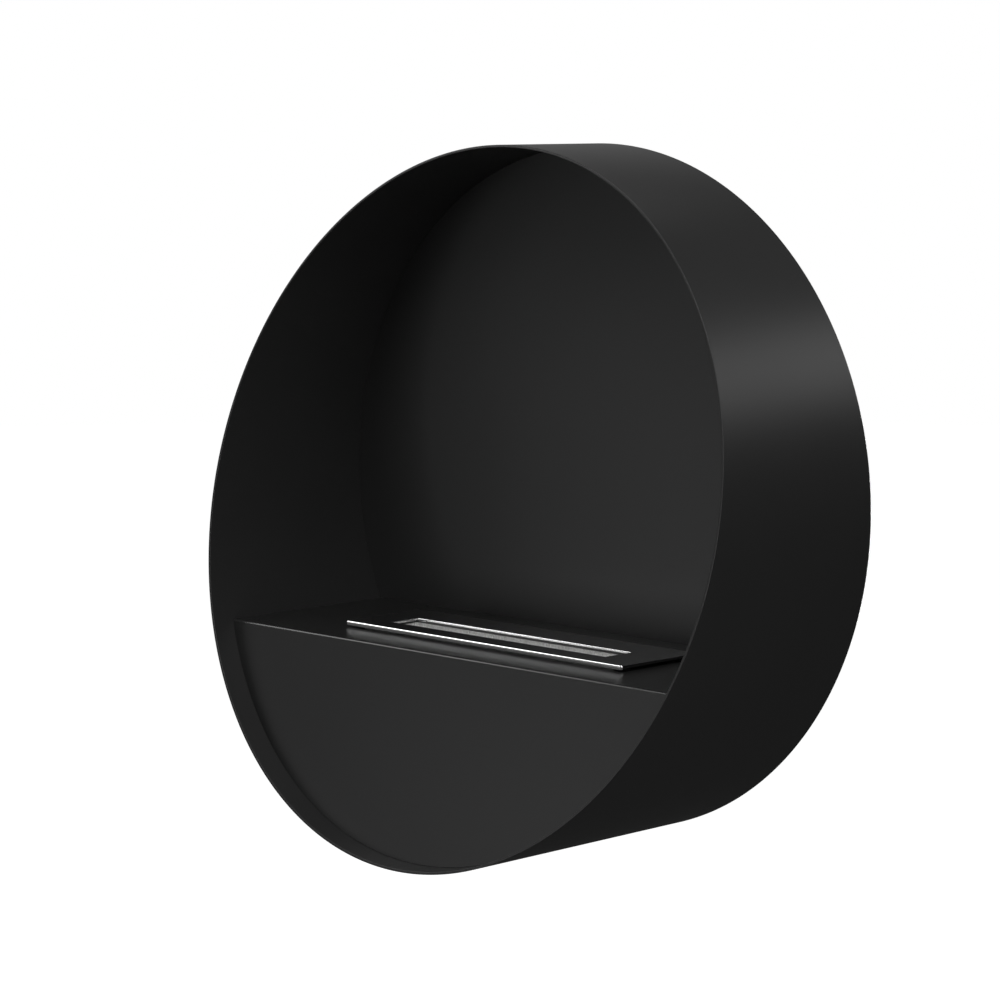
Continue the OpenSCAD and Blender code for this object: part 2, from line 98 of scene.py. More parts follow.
# Lamps: name, place, width and height in metres, power in watts, spread in degrees
LAMP_TARGET = (0, -0.1, 0)
LAMPS = (
    ("key_lamp", (-2.9, -1.7, 2.1), 1.5, 1.5, 32, 180),
    ("front_lamp", (-1.3, -3.1, -0.3), 1.2, 1, 10, 180),
    ("left_lamp", (-2.4, -2.8, 0.1), 1.6, 1.4, 1.6, 180),
    ("over_lamp", (1.3, -1.7, 2.5), 1.4, 1.4, 40, 180),
    ("over_left_lamp", (0.2, -2.2, 2.4), 1.4, 1.4, 9.6, 180),
    ("camera_side_lamp", (2.9, -2.2, 1.5), 1.6, 1.6, 28, 180),
    ("flank_lamp", (3.4, -0.95, -0.6), 1.6, 1.6, 50, 180),
    ("top_lamp", (-0.3, -0.3, 3), 1.6, 1.6, 19, 180),
    ("top_back_lamp", (-0.6, 1.2, 2.8), 1.6, 1.6, 5.7, 180),
    ("band_lamp", (1.8, 2.1, 1.4), 2, 0.75, 8.5, 180),
    ("rear_top_lamp", (0.9, 2.2, 2.1), 2.4, 1.2, 1.6, 180),
    ("rear_left_lamp", (-2, 2.2, 1.3), 2.4, 1.4, 2.8, 180),
    ("back_lamp", (-0.9, 3.2, -0.5), 1.2, 1.2, 9, 34),
)


class HearthSizes(bpy.types.PropertyGroup):
    """Small sizes of the sheet metal, the wick and the burner."""

    drum_steps: IntProperty(
        name="Drum steps", description="Straight steps round the drum", default=432, min=96
    )
    sheet_edge: FloatProperty(
        name="Sheet edge", description="Rounding of the cut edges of the casing's sheets",
        default=0.6 * MM, min=0, unit="LENGTH",
    )
    deck_edge: FloatProperty(
        name="Deck edge", description="Rounding of the deck's front edge",
        default=2.3 * MM, min=0, unit="LENGTH",
    )
    fold_round: FloatProperty(
        name="Plate fold", description="Outside radius of the burner plate's folded edges",
        default=3.0 * MM, min=0, unit="LENGTH",
    )
    collar_edge: FloatProperty(
        name="Collar edge", description="Rounding of the polished slot collar",
        default=0.7 * MM, min=0, unit="LENGTH",
    )
    fine_edge: FloatProperty(
        name="Fine edge", description="Rounding of the burner's small sheet pieces",
        default=0.18 * MM, min=0, unit="LENGTH",
    )
    bumper_edge: FloatProperty(
        name="Bumper edge", description="Rounding of the rubber bumpers",
        default=2 * MM, min=0, unit="LENGTH",
    )
    wire_pitch: FloatProperty(
        name="Wire pitch", description="Distance between the wires of the wick's cloth",
        default=2.2 * MM, min=0.0005, unit="LENGTH",
    )
    wire_d: FloatProperty(
        name="Wire diameter", description="Diameter of the wires of the wick's cloth",
        default=0.42 * MM, min=0, unit="LENGTH",
    )
    wool_lump: FloatProperty(
        name="Wool lumps", description="Height of the lumps on the ceramic wool",
        default=0.9 * MM, min=0, unit="LENGTH",
    )


class HearthColours(bpy.types.PropertyGroup):
    """Colours of the finishes, as linear values."""

    coat: FloatVectorProperty(
        name="Powder coat", description="Black powder coat of the drum and the deck",
        subtype="COLOR", size=3, default=(0.0125, 0.0125, 0.0125), min=0, max=1,
    )
    # Painted shade: the same black powder coat as the drum, made darker for the front panel and the
    # rails
    panel_coat: FloatVectorProperty(
        name="Panel coat", description="Black powder coat of the front panel and the rails",
        subtype="COLOR", size=3, default=(0.0085, 0.0085, 0.0085), min=0, max=1,
    )
    # Painted light: the same black powder coat as the drum, made lighter for the back panel
    chamber_coat_painted_light: FloatVectorProperty(
        name="Chamber coat", description="Black powder coat of the back panel",
        subtype="COLOR", size=3, default=(0.0143, 0.0143, 0.0143), min=0, max=1,
    )
    satin_steel: FloatVectorProperty(
        name="Satin steel", description="Brushed steel of the burner plate",
        subtype="COLOR", size=3, default=(0.62, 0.62, 0.62), min=0, max=1,
    )
    polished_steel: FloatVectorProperty(
        name="Polished steel", description="Polished steel of the slot collar",
        subtype="COLOR", size=3, default=(0.86, 0.86, 0.86), min=0, max=1,
    )
    plain_steel: FloatVectorProperty(
        name="Plain steel", description="Rolled steel of the tank and the well",
        subtype="COLOR", size=3, default=(0.52, 0.52, 0.51), min=0, max=1,
    )
    zinc: FloatVectorProperty(
        name="Zinc", description="Bright zinc of the studs and nuts",
        subtype="COLOR", size=3, default=(0.62, 0.62, 0.6), min=0, max=1,
    )
    wire: FloatVectorProperty(
        name="Wire", description="Steel wire of the wick's cloth",
        subtype="COLOR", size=3, default=(0.92, 0.92, 0.915), min=0, max=1,
    )
    wool: FloatVectorProperty(
        name="Ceramic wool", description="Ceramic fibre wool",
        subtype="COLOR", size=3, default=(0.76, 0.755, 0.74), min=0, max=1,
    )
    rubber: FloatVectorProperty(
        name="Rubber", description="Rubber of the bumpers and the burner's feet",
        subtype="COLOR", size=3, default=(0.018, 0.018, 0.018), min=0, max=1,
    )


class HearthStudio(bpy.types.PropertyGroup):
    """Camera, floor and room light."""

    camera_at: FloatVectorProperty(
        name="Camera", description="Where the camera stands",
        subtype="TRANSLATION", size=3, default=(2.6212, -2.7984, 0.454),
    )
    camera_to: FloatVectorProperty(
        name="Target", description="Where the camera looks",
        subtype="TRANSLATION", size=3, default=(-0.1709, 0.0, -0.0301),
    )
    lens: FloatProperty(name="Lens", description="Focal length in millimetres", default=118.72, min=1)
    floor_drop: FloatProperty(
        name="Floor drop", description="Height of the drum's axis above the floor",
        default=1.3, min=0.4, unit="LENGTH",
    )
    world_light: FloatProperty(
        name="World light", description="Strength of the even light of the room", default=0.025, min=0
    )


# Materials

def new_material(name):
    """A material with its shader and its object coordinates in metres."""
    mat = bpy.data.materials.new(name)
    mat.use_nodes = True
    shader = mat.node_tree.nodes["Principled BSDF"]
    place = mat.node_tree.nodes.new("ShaderNodeTexCoord").outputs["Object"]
    return mat, mat.node_tree, shader, place


def stretched(tree, place, scale):
    """Coordinates scaled differently along each axis."""
    mapping = tree.nodes.new("ShaderNodeMapping")
    mapping.inputs["Scale"].default_value = scale
    tree.links.new(place, mapping.inputs["Vector"])
    return mapping.outputs["Vector"]


def noise_of(tree, place, scale, detail, rough):
    """Noise value at the given coordinates."""
    tex = tree.nodes.new("ShaderNodeTexNoise")
    tex.inputs["Scale"].default_value = scale
    tex.inputs["Detail"].default_value = detail
    tex.inputs["Roughness"].default_value = rough
    tree.links.new(place, tex.inputs["Vector"])
    return tex.outputs["Fac"]


def ranged(tree, value, low, high):
    """The middle of a noise value spread from low to high."""
    spread = tree.nodes.new("ShaderNodeMapRange")
    spread.inputs["From Min"].default_value = NOISE_LOW
    spread.inputs["From Max"].default_value = NOISE_HIGH
    spread.inputs["To Min"].default_value = low
    spread.inputs["To Max"].default_value = high
    tree.links.new(value, spread.inputs["Value"])
    return spread.outputs["Result"]


def tinted(tree, value, colour, darker, lighter):
    """A colour that varies between a darker and a lighter tone of itself."""
    mix = tree.nodes.new("ShaderNodeMix")
    mix.data_type = "RGBA"
    mix.inputs["A"].default_value = [c * darker for c in colour] + [1]
    mix.inputs["B"].default_value = [c * lighter for c in colour] + [1]
    tree.links.new(value, mix.inputs["Factor"])
    return mix.outputs["Result"]


def bumped(tree, shader, height, strength, distance):
    """Feeds a height into the shader's normal."""
    bump = tree.nodes.new("ShaderNodeBump")
    bump.inputs["Strength"].default_value = strength
    bump.inputs["Distance"].default_value = distance
    tree.links.new(height, bump.inputs["Height"])
    tree.links.new(bump.outputs["Normal"], shader.inputs["Normal"])


def powder_coat(name, colour, rough, level, peel=0.2):
    """Baked powder coat: faint orange peel, uneven gloss and a few dull patches."""
    mat, tree, shader, place = new_material(name)
    patches = noise_of(tree, place, scale=5.0, detail=4.0, rough=0.55)
    grain = noise_of(tree, place, scale=1100.0, detail=2.0, rough=0.5)
    tree.links.new(tinted(tree, patches, colour, darker=0.93, lighter=1.07), shader.inputs["Base Color"])
    tree.links.new(ranged(tree, patches, rough - 0.01, rough + 0.012), shader.inputs["Roughness"])
    shader.inputs["Specular IOR Level"].default_value = level
    bumped(tree, shader, grain, strength=peel, distance=0.05 * MM)
    return mat


def brushed_metal(name, colour, rough, scratch, uneven=0.06):
    """Metal with fine brushed lines."""
    mat, tree, shader, place = new_material(name)
    lines = noise_of(tree, stretched(tree, place, BRUSH_LINES), scale=1.0, detail=5.0, rough=0.65)
    smudges = noise_of(tree, place, scale=24.0, detail=3.0, rough=0.5)
    tree.links.new(tinted(tree, smudges, colour, darker=0.94, lighter=1.04), shader.inputs["Base Color"])
    tree.links.new(ranged(tree, lines, rough - uneven, rough + uneven), shader.inputs["Roughness"])
    shader.inputs["Metallic"].default_value = 1.0
    bumped(tree, shader, lines, strength=scratch, distance=0.03 * MM)
    return mat


def woven_wire(name, colour):
    """Heat-stained wire whose loops shine unevenly."""
    mat, tree, shader, place = new_material(name)
    spots = noise_of(tree, place, scale=520.0, detail=2.0, rough=0.6)
    stains = ranged(tree, spots, low=0.0, high=1.0)
    tree.links.new(tinted(tree, stains, colour, darker=0.74, lighter=1.1), shader.inputs["Base Color"])
    tree.links.new(ranged(tree, stains, low=0.44, high=0.34), shader.inputs["Roughness"])
    shader.inputs["Metallic"].default_value = 1.0
    return mat


def zinc_plate(name, colour):
    """Bright zinc with the small cloudy crystals of plating."""
    mat, tree, shader, place = new_material(name)
    cells = tree.nodes.new("ShaderNodeTexVoronoi")
    cells.inputs["Scale"].default_value = 900.0
    tree.links.new(place, cells.inputs["Vector"])
    clouds = noise_of(tree, place, scale=300.0, detail=2.0, rough=0.5)
    crystals = tinted(tree, cells.outputs["Distance"], colour, darker=0.9, lighter=1.05)
    tree.links.new(crystals, shader.inputs["Base Color"])
    tree.links.new(ranged(tree, clouds, low=0.26, high=0.4), shader.inputs["Roughness"])
    shader.inputs["Metallic"].default_value = 1.0
    bumped(tree, shader, clouds, strength=0.15, distance=0.05 * MM)
    return mat


def moulded_rubber(name, colour):
    """Matt rubber with a fine pitted skin."""
    mat, tree, shader, place = new_material(name)
    pits = noise_of(tree, place, scale=1400.0, detail=2.0, rough=0.6)
    bloom = noise_of(tree, place, scale=40.0, detail=3.0, rough=0.5)
    tree.links.new(tinted(tree, bloom, colour, darker=0.85, lighter=1.35), shader.inputs["Base Color"])
    tree.links.new(ranged(tree, bloom, low=0.7, high=0.85), shader.inputs["Roughness"])
    shader.inputs["Specular IOR Level"].default_value = 0.35
    bumped(tree, shader, pits, strength=0.3, distance=0.08 * MM)
    return mat


def ceramic_fibre(name, colour):
    """Matt white wool of short crossed fibres."""
    mat, tree, shader, place = new_material(name)
    lengthwise = stretched(tree, place, (250.0, 2600.0, 2600.0))
    crosswise = stretched(tree, place, (2600.0, 300.0, 2600.0))
    along = noise_of(tree, lengthwise, scale=1.0, detail=4.0, rough=0.7)
    across = noise_of(tree, crosswise, scale=1.0, detail=4.0, rough=0.7)
    both = tree.nodes.new("ShaderNodeMath")
    both.operation = "MAXIMUM"
    tree.links.new(along, both.inputs[0])
    tree.links.new(across, both.inputs[1])
    fibres = both.outputs["Value"]
    tree.links.new(tinted(tree, fibres, colour, darker=0.72, lighter=1.12), shader.inputs["Base Color"])
    shader.inputs["Roughness"].default_value = 0.95
    shader.inputs["Specular IOR Level"].default_value = 0.2
    shader.inputs["Sheen Weight"].default_value = 0.3
    bumped(tree, shader, fibres, strength=0.6, distance=0.3 * MM)
    return mat


def material(name):
    """The finish of that name, made the first time that it is asked for."""
    if name in FINISHES:
        return FINISHES[name]
    tone = bpy.context.scene.hearth_colours
    makers = {
        "drum_coat": lambda: powder_coat(name, tone.coat, rough=0.36, level=0.4),
        "deck_black": lambda: powder_coat(name, tone.coat, rough=0.28, level=0.5, peel=0.03),
        # The front panel's black is the powder coat darkened: painted shade
        "panel_black_painted_shade": lambda: powder_coat(name, tone.panel_coat, rough=0.42, level=0.5),
        # The back panel's black is the powder coat lightened: painted light
        "chamber_black_painted_light": lambda: powder_coat(name, tone.chamber_coat_painted_light, rough=0.42, level=0.5),
        # The rails take the darkened powder coat too: painted shade
        "rail_coat": lambda: powder_coat(name, tone.panel_coat, rough=0.55, level=0.4, peel=0.3),
        # The damper is coated black so that its edge shows as the dark shadow line under the slot's far
        # lip: painted shade
        "damper_black_painted_shade": lambda: powder_coat(name, tone.coat, rough=0.3, level=0.5),
        "plate_satin": lambda: brushed_metal(
            name, tone.satin_steel, rough=0.15, scratch=0.06, uneven=0.03
        ),
        "collar_polish": lambda: brushed_metal(
            name, tone.polished_steel, rough=0.12, scratch=0.05, uneven=0.03
        ),
        "rolled_steel": lambda: brushed_metal(name, tone.plain_steel, rough=0.34, scratch=0.15),
        "wire_steel": lambda: woven_wire(name, tone.wire),
        "bright_zinc": lambda: zinc_plate(name, tone.zinc),
        "moulded_rubber": lambda: moulded_rubber(name, tone.rubber),
        "fibre_wool": lambda: ceramic_fibre(name, tone.wool),
    }
    FINISHES[name] = makers[name]()
    return FINISHES[name]


# Mesh helpers

def add_piece(name, mesh, node, finish):
    """Links a mesh as a piece that stands for a node, on that node's body."""
    piece = bpy.data.objects.new(name, mesh)
    bpy.context.scene.collection.objects.link(piece)
    mesh.materials.clear()
    mesh.materials.append(material(finish))
    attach(piece, BODY_OF[node])
    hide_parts(node)
    return piece


def weigh_normals(piece, angle=38.0):
    """Smooth shading that keeps flat sheets flat and their rounded edges round."""
    mesh = piece.data
    mesh.shade_smooth()
    mesh.set_sharp_from_angle(angle=math.radians(angle))
    weighted = piece.modifiers.new("Weighted normals", "WEIGHTED_NORMAL")
    weighted.keep_sharp = True
    weighted.weight = 60


def sharp_edges(bm, degrees=35.0):
    """Edges where two faces meet at more than that angle."""
    limit = math.radians(degrees)
    return [e for e in bm.edges if len(e.link_faces) == 2 and e.calc_face_angle(0) > limit]


def welded(node, join=0.02 * MM, flat_degrees=1):
    """A bmesh of a node's solid, with its flat faces whole again."""
    bm = bmesh.new()
    bm.from_mesh(frame["nodes"][node].data)
    bmesh.ops.remove_doubles(bm, verts=bm.verts, dist=join)
    bmesh.ops.dissolve_limit(
        bm, angle_limit=math.radians(flat_degrees), verts=bm.verts, edges=bm.edges,
        use_dissolve_boundaries=False,
    )
    return bm


def round_off(bm, edges, radius, steps):
    """Rounds edges to a radius."""
    if edges and radius > 0:
        bmesh.ops.bevel(
            bm, geom=edges, offset=radius, segments=steps, profile=0.5,
            affect="EDGES", clamp_overlap=True,
        )


def to_mesh(bm, name):
    """Closes a bmesh into a mesh with its normals outward."""
    bmesh.ops.remove_doubles(bm, verts=bm.verts, dist=0.001 * MM)
    bmesh.ops.recalc_face_normals(bm, faces=bm.faces)
    mesh = bpy.data.meshes.new(name)
    bm.to_mesh(mesh)
    bm.free()
    return mesh


def eased(name, node, finish, radius, steps=2, bm=None):
    """A node's solid, or a mesh made from it, with its sharp edges rounded as cut sheet has them."""
    if bm is None:
        bm = welded(node)
    round_off(bm, sharp_edges(bm), radius, steps)
    weigh_normals(add_piece(name, to_mesh(bm, name), node, finish))


def at_height(edge, z, slack=0.05 * MM):
    """True if both ends of an edge lie at that height."""
    return all(abs(v.co.z - z) < slack for v in edge.verts)


# The drum

def rim_plane():
    """Y of the leaning rim at the drum's axis, and how far it moves back for each metre of height."""
    points = [v.co for v in frame["nodes"]["drum_shell"].data.vertices]
    top = max(points, key=lambda p: (round(p.z, 4), -p.y))
    low = min(points, key=lambda p: (round(p.z, 4), p.y))
    slope = (top.y - low.y) / (top.z - low.z)
    return low.y - slope * low.z, slope


def wall_radius():
    """Inside radius of the drum."""
    return min(math.hypot(v.co.x, v.co.z) for v in frame["nodes"]["drum_shell"].data.vertices)


def edge_arc(radius, steps=4):
    """Quarter circle as pairs: distance in from the side and distance back from the end."""
    turns = [i / steps * math.pi / 2 for i in range(steps + 1)]
    return [(radius * (1 - math.cos(t)), radius * (1 - math.sin(t))) for t in turns]


def drum_rings(outer, inner, edge):
    """Rings of the drum's section: radius, whether it follows the rim, and distance from that end."""
    support = 6 * edge
    arc = edge_arc(edge)
    out_rim = [(outer - side, True, back) for side, back in arc]
    in_rim = [(inner + side, True, back) for side, back in reversed(arc)]
    in_wall = [(inner + side, False, back) for side, back in arc]
    out_wall = [(outer - side, False, back) for side, back in reversed(arc)]
    return (
        [(outer, False, support), (outer, True, support)] + out_rim + in_rim
        + [(inner, True, support), (inner, False, support)] + in_wall + out_wall
    )


def drum_mesh(steps, edge):
    """Rolled drum whose front is cut to the leaning plane of the rim."""
    low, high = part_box("drum_shell")
    outer = high[0]
    inner = wall_radius()
    wall_y = high[1]
    axis_y, slope = rim_plane()
    rings = drum_rings(outer, inner, edge)
    bm = bmesh.new()
    loops = []
    for radius, at_rim, offset in rings:
        loop = []
        for i in range(steps):
            turn = 2 * math.pi * i / steps
            z = radius * math.sin(turn)
            y = axis_y + slope * z + offset if at_rim else wall_y - offset
            loop.append(bm.verts.new((radius * math.cos(turn), y, z)))
        loops.append(loop)
    for one, two in zip(loops, loops[1:] + loops[:1]):
        for i in range(steps):
            j = (i + 1) % steps
            bm.faces.new((one[i], one[j], two[j], two[i]))
    return to_mesh(bm, "drum")


class HEARTH_OT_drum(bpy.types.Operator):
    """Rolled drum with a leaning rim"""

    bl_idname = "hearth.drum"
    bl_label = "Drum"

    def execute(self, context):
        sizes = context.scene.hearth_sizes
        mesh = drum_mesh(sizes.drum_steps, sizes.sheet_edge)
        weigh_normals(add_piece("drum", mesh, "drum_shell", "drum_coat"))
        return {"FINISHED"}


def pressed_disc(node, into=0.2 * MM, rim=1 * MM):
    """A bmesh of a round panel whose rim ends inside the drum's wall, so that no light leaks past it."""
    bm = welded(node)
    wall = wall_radius()
    for v in bm.verts:
        reach = math.hypot(v.co.x, v.co.z)
        if reach > wall - rim:
            v.co.x *= (wall + into) / reach
            v.co.z *= (wall + into) / reach
    return bm


class HEARTH_OT_panels(bpy.types.Operator):
    """Back panel and leaning front panel, with the tabs that hold them"""

    bl_idname = "hearth.panels"
    bl_label = "Panels"

    def execute(self, context):
        edge = context.scene.hearth_sizes.sheet_edge
        # The back panel takes the lightened powder coat: painted light
        eased("back_sheet", "back_panel", "chamber_black_painted_light", edge, bm=pressed_disc("back_panel"))
        # The front panel takes the darkened powder coat: painted shade
        eased("front_sheet", "front_panel", "panel_black_painted_shade", 1.5 * edge)
        for node in ("back_panel_tabs", "front_panel_tabs"):
            eased(node.replace("panel_tabs", "weld_tabs"), node, "drum_coat", edge / 2)
        return {"FINISHED"}


class HEARTH_OT_deck(bpy.types.Operator):
    """Fire deck with a softly rounded front edge, on its two brackets"""

    bl_idname = "hearth.deck"
    bl_label = "Fire deck"

    def execute(self, context):
        sizes = context.scene.hearth_sizes
        low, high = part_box("fire_deck")
        bm = welded("fire_deck", join=0.8 * MM)
        front_zone = low[1] + 2 * MM
        front = [
            e for e in sharp_edges(bm)
            if at_height(e, high[2]) and max(v.co.y for v in e.verts) < front_zone
        ]
        round_off(bm, front, sizes.deck_edge, steps=4)
        weigh_normals(add_piece("deck", to_mesh(bm, "deck"), "fire_deck", "deck_black"))
        for side in ("left", "right"):
            eased(f"shelf_{side}", f"deck_bracket_{side}", "drum_coat", sizes.sheet_edge / 2)
        return {"FINISHED"}


class HEARTH_OT_well(bpy.types.Operator):
    """Spill pan under the deck"""

    bl_idname = "hearth.well"
    bl_label = "Burner well"

    def execute(self, context):
        eased("spill_pan", "burner_well", "rolled_steel", context.scene.hearth_sizes.fine_edge)
        return {"FINISHED"}


class HEARTH_OT_wall_mount(bpy.types.Operator):
    """Wall rails, hanging cleats and rubber bumpers"""

    bl_idname = "hearth.wall_mount"
    bl_label = "Wall mount"

    def execute(self, context):
        sizes = context.scene.hearth_sizes
        for place in ("upper", "lower"):
            eased(f"rail_{place}", f"wall_rail_{place}", "rail_coat", sizes.sheet_edge)
            eased(f"cleat_{place}", f"hanging_cleat_{place}", "rail_coat", sizes.sheet_edge)
        eased("bumpers", "wall_bumpers", "moulded_rubber", sizes.bumper_edge, steps=4)
        return {"FINISHED"}


class HEARTH_OT_fasteners(bpy.types.Operator):
    """Press-in studs and flanged nuts"""

    bl_idname = "hearth.fasteners"
    bl_label = "Fasteners"

    def execute(self, context):
        edge = context.scene.hearth_sizes.fine_edge
        for group in ("back_panel", "front_panel", "deck", "well", "cleat"):
            eased(f"{group}_stud_set", f"{group}_studs", "bright_zinc", edge)
            eased(f"{group}_nut_set", f"{group}_nuts", "bright_zinc", edge)
        return {"FINISHED"}


# The burner

def bent_ring(bm, half, middle, inset, radius, level, steps):
    """Ring of a rectangle with round corners; level gives the height of each vertex."""
    ring = []
    reach_x, reach_y = half[0] - inset, half[1] - inset
    for quarter in range(4):
        side_x = 1 if quarter in (0, 3) else -1
        side_y = 1 if quarter in (0, 1) else -1
        for i in range(steps + 1):
            turn = (quarter + i / steps) * math.pi / 2
            x = side_x * (reach_x - radius) + radius * math.cos(turn)
            y = side_y * (reach_y - radius) + radius * math.sin(turn)
            z = level(abs(math.sin(turn)) > abs(math.cos(turn)))
            ring.append(bm.verts.new((middle[0] + x, middle[1] + y, z)))
    return ring


def folded_plate(fold, steps):
    """Burner plate folded down on its four sides, with its slot."""
    low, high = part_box("burner_top_plate")
    slot_low, slot_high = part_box("slot_collar")
    sheet = high[2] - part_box("plate_spacer")[1][2]
    top = high[2]
    heights = [v.co.z for v in frame["nodes"]["burner_top_plate"].data.vertices]
    end_lip = max(z for z in heights if z < top - 2 * sheet)
    middle = ((low[0] + high[0]) / 2, (low[1] + high[1]) / 2)
    half = ((high[0] - low[0]) / 2, (high[1] - low[1]) / 2)
    slot_middle = ((slot_low[0] + slot_high[0]) / 2, (slot_low[1] + slot_high[1]) / 2)
    slot_half = ((slot_high[0] - slot_low[0]) / 2, (slot_high[1] - slot_low[1]) / 2)
    tight = 0.02 * MM
    bm = bmesh.new()

    def around(inset, z):
        return bent_ring(bm, half, middle, inset, max(fold - inset, tight), lambda long: z, steps)

    def lip(inset):
        return bent_ring(
            bm, half, middle, inset, fold - inset, lambda long: low[2] if long else end_lip, steps
        )

    def slot_edge(z):
        return bent_ring(bm, slot_half, slot_middle, 0, tight, lambda long: z, steps)

    turns = [i / steps * math.pi / 2 for i in range(steps + 1)]
    rings = [lip(0)]
    rings += [around(fold * (1 - math.cos(t)), top - fold * (1 - math.sin(t))) for t in turns]
    rings += [slot_edge(top), slot_edge(top - sheet)]
    inside = fold - sheet
    rings += [
        around(sheet + inside * (1 - math.cos(t)), top - sheet - inside * (1 - math.sin(t)))
        for t in reversed(turns)
    ]
    rings += [lip(sheet)]
    for one, two in zip(rings, rings[1:] + rings[:1]):
        for i in range(len(one)):
            j = (i + 1) % len(one)
            bm.faces.new((one[i], one[j], two[j], two[i]))
    return to_mesh(bm, "top_plate")


class HEARTH_OT_burner_plate(bpy.types.Operator):
    """Satin top plate with folded edges, and the polished collar of its slot"""

    bl_idname = "hearth.burner_plate"
    bl_label = "Burner plate"

    def execute(self, context):
        sizes = context.scene.hearth_sizes
        mesh = folded_plate(sizes.fold_round, steps=6)
        weigh_normals(add_piece("top_plate", mesh, "burner_top_plate", "plate_satin"))
        eased("collar", "slot_collar", "collar_polish", sizes.collar_edge, steps=3)
        return {"FINISHED"}


class HEARTH_OT_fuel_tank(bpy.types.Operator):
    """Fuel tank, its lid, the spacer and guides under the plate, and the feet"""

    bl_idname = "hearth.fuel_tank"
    bl_label = "Fuel tank"

    def execute(self, context):
        edge = context.scene.hearth_sizes.fine_edge
        eased("tank", "burner_tank", "rolled_steel", edge)
        eased("lid", "tank_lid", "rolled_steel", edge)
        eased("spacer", "plate_spacer", "rolled_steel", edge)
        eased("end_guide_left", "guide_left", "rolled_steel", edge)
        eased("end_guide_right", "guide_right", "rolled_steel", edge)
        eased("feet", "burner_feet", "moulded_rubber", edge)
        return {"FINISHED"}


# The wick

def add_wire(bm, start, along, across, length, crossings, bend, radius):
    """One wire that bends over and under the wires that it crosses."""
    up = Vector((0, 0, 1))
    rings = []
    count = crossings * 2
    for i in range(count + 1):
        share = i / count
        wave = math.cos(share * crossings * math.pi) * bend
        centre = start + along * (length * share) + up * wave
        ring = []
        for k in range(WIRE_SIDES):
            turn = 2 * math.pi * k / WIRE_SIDES
            side = across * (radius * math.cos(turn)) + up * (radius * math.sin(turn))
            ring.append(bm.verts.new(centre + side))
        rings.append(ring)
    for one, two in zip(rings, rings[1:]):
        for k in range(WIRE_SIDES):
            j = (k + 1) % WIRE_SIDES
            bm.faces.new((one[k], one[j], two[j], two[k]))
    bm.faces.new(list(reversed(rings[0])))
    bm.faces.new(rings[-1])


def wire_cloth(low, high, pitch, wire):
    """Plain-woven wire cloth that fills a flat box."""
    bm = bmesh.new()
    radius = wire / 2
    level = high[2] - wire
    x_axis = Vector((1, 0, 0))
    y_axis = Vector((0, 1, 0))
    wide = high[0] - low[0]
    deep = high[1] - low[1]
    count_x = int(wide / pitch)
    count_y = int(deep / pitch)
    step_x = wide / count_x
    step_y = deep / count_y
    for j in range(count_y):
        y = low[1] + (j + 0.5) * step_y
        bend = radius if j % 2 else -radius
        add_wire(bm, Vector((low[0], y, level)), x_axis, y_axis, wide, count_x, bend, radius)
    for i in range(count_x):
        x = low[0] + (i + 0.5) * step_x
        bend = -radius if i % 2 else radius
        add_wire(bm, Vector((x, low[1], level)), y_axis, x_axis, deep, count_y, bend, radius)
    return to_mesh(bm, "wire_cloth")


def wool_mesh(low, high, lump):
    """Block of wool: crowned and lumpy on top, drawn in a little down its sides."""
    bm = bmesh.new()
    bmesh.ops.create_cube(bm, size=1.0)
    for axis, cuts in enumerate(WOOL_CUTS):
        edges = [e for e in bm.edges if abs(e.verts[0].co[axis] - e.verts[1].co[axis]) > 1e-6]
        bmesh.ops.subdivide_edges(bm, edges=edges, cuts=cuts, use_grid_fill=True)
    size = Vector(high) - Vector(low)
    middle = (Vector(high) + Vector(low)) / 2
    for v in bm.verts:
        share = v.co.copy()
        point = Vector((share.x * size.x, share.y * size.y, share.z * size.z)) + middle
        rise = noise.noise(point * WOOL_BROAD) * 0.6 + noise.noise(point * WOOL_FINE) * 0.4
        drawn = 1 - WOOL_PINCH * (1 - (2 * share.z) ** 2)
        crown = max(0.0, 2 * share.z) ** 2
        point.x = middle.x + (point.x - middle.x) * drawn
        point.y = middle.y + (point.y - middle.y) * drawn
        point.z -= crown * lump * (0.5 + 0.5 * rise)
        v.co = point
    return to_mesh(bm, "wool")


class HEARTH_OT_wick(bpy.types.Operator):
    """Wire cloth in its frame over the ceramic wool"""

    bl_idname = "hearth.wick"
    bl_label = "Wick"

    def execute(self, context):
        sizes = context.scene.hearth_sizes
        low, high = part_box("wick_mesh")
        mesh = wire_cloth(low, high, sizes.wire_pitch, sizes.wire_d)
        cloth = add_piece("wire_cloth", mesh, "wick_mesh", "wire_steel")
        weigh_normals(cloth, angle=65.0)
        eased("cloth_frame", "mesh_frame", "rolled_steel", sizes.fine_edge)
        low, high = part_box("ceramic_wool")
        mesh = wool_mesh(low, high, sizes.wool_lump)
        wool = add_piece("wool_block", mesh, "ceramic_wool", "fibre_wool")
        weigh_normals(wool)
        return {"FINISHED"}


class HEARTH_OT_damper(bpy.types.Operator):
    """Sliding damper with its finger tab"""

    bl_idname = "hearth.damper"
    bl_label = "Damper"

    def execute(self, context):
        edge = context.scene.hearth_sizes.fine_edge
        # The damper's black coat stands in for the shadow line under the slot's far lip: painted shade
        eased("shutter", "damper_plate", "damper_black_painted_shade", edge)
        eased("finger_tab", "damper_tab", "plate_satin", edge, steps=3)
        return {"FINISHED"}


# The studio

def aim(obj, target):
    """Turns a lamp or a camera to look at a point."""
    obj.rotation_euler = (Vector(target) - obj.location).to_track_quat("-Z", "Y").to_euler()


